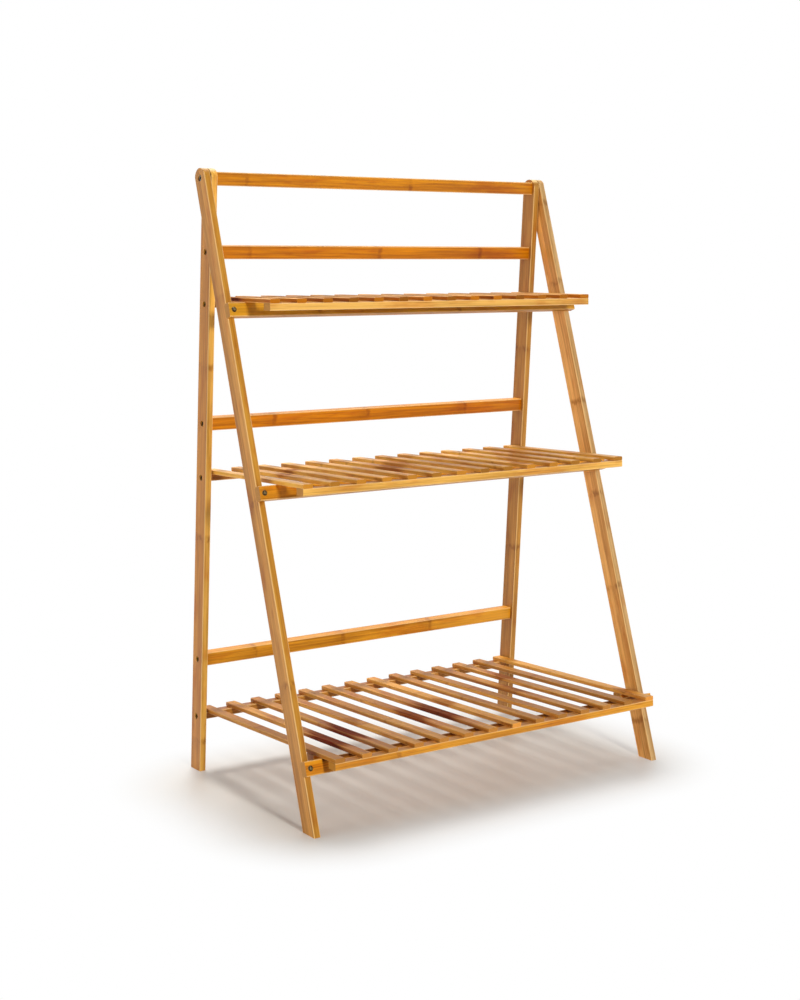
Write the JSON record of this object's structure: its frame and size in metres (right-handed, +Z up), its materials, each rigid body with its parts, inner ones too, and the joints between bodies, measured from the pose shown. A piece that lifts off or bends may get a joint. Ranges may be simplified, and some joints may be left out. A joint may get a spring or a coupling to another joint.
{
  "type": "folding ladder plant stand",
  "caption": "Free-standing bamboo A-frame ladder stand with three tiered slatted shelves that lift and let the two leg frames fold flat for storage.",
  "frame": {"origin": "on the floor, at the middle of the stand's length and of its depth when it stands open", "axes": "+Z up, -Y to the front where the shelves reach out, +X to the right seen from the front"},
  "size_m": [0.68, 0.42, 0.9695],
  "materials": {
    "leg_wood": "satin lacquered bamboo",
    "rail_wood": "satin lacquered bamboo",
    "crossbar_wood": "satin lacquered bamboo",
    "slat_wood": "satin lacquered bamboo",
    "batten_wood": "satin lacquered bamboo",
    "screw_bronze": "antique bronze plated",
    "bolt_steel": "zinc plated",
    "spacer_nylon": "natural nylon"
  },
  "bodies": {
    "back_frame": {"back_leg_left": "leg_wood", "back_leg_right": "leg_wood", "top_rail": "rail_wood", "upper_guard_rail": "rail_wood", "middle_guard_rail": "rail_wood", "lower_guard_rail": "rail_wood", "rail_screws": "screw_bronze", "hinge_screws": "screw_bronze", "hinge_spacers": "spacer_nylon", "pivot_bolts": "bolt_steel", "pivot_washers": "bolt_steel"},
    "front_frame": {"front_leg_left": "leg_wood", "front_leg_right": "leg_wood", "upper_crossbar": "crossbar_wood", "middle_crossbar": "crossbar_wood", "lower_crossbar": "crossbar_wood", "crossbar_screws": "screw_bronze"},
    "top_shelf": {"top_slats": "slat_wood", "top_front_batten": "batten_wood", "top_rear_batten": "batten_wood"},
    "middle_shelf": {"middle_slats": "slat_wood", "middle_front_batten": "batten_wood", "middle_rear_batten": "batten_wood"},
    "bottom_shelf": {"bottom_slats": "slat_wood", "bottom_front_batten": "batten_wood", "bottom_rear_batten": "batten_wood", "stop_blocks": "batten_wood"}
  },
  "joints": [
    {"name": "front_fold", "type": "hinge", "parent": "back_frame", "child": "front_frame", "pos_m": [0, 0.1361, 0.954], "axis": [1, 0, 0], "range_deg": [0, 21.4]},
    {"name": "top_shelf_lift", "type": "hinge", "parent": "back_frame", "child": "top_shelf", "pos_m": [0, 0.14795, 0.76036], "axis": [-1, 0, 0], "range_deg": [0, 66]},
    {"name": "middle_shelf_lift", "type": "hinge", "parent": "back_frame", "child": "middle_shelf", "pos_m": [0, 0.16479, 0.48488], "axis": [-1, 0, 0], "range_deg": [0, 56]},
    {"name": "bottom_shelf_lift", "type": "hinge", "parent": "back_frame", "child": "bottom_shelf", "pos_m": [0, 0.18891, 0.09061], "axis": [-1, 0, 0], "range_deg": [0, 66.4]}
  ],
  "couplings": [
    {"joint": "bottom_shelf_lift", "follows": "front_fold", "ratio": 3.1}
  ]
}
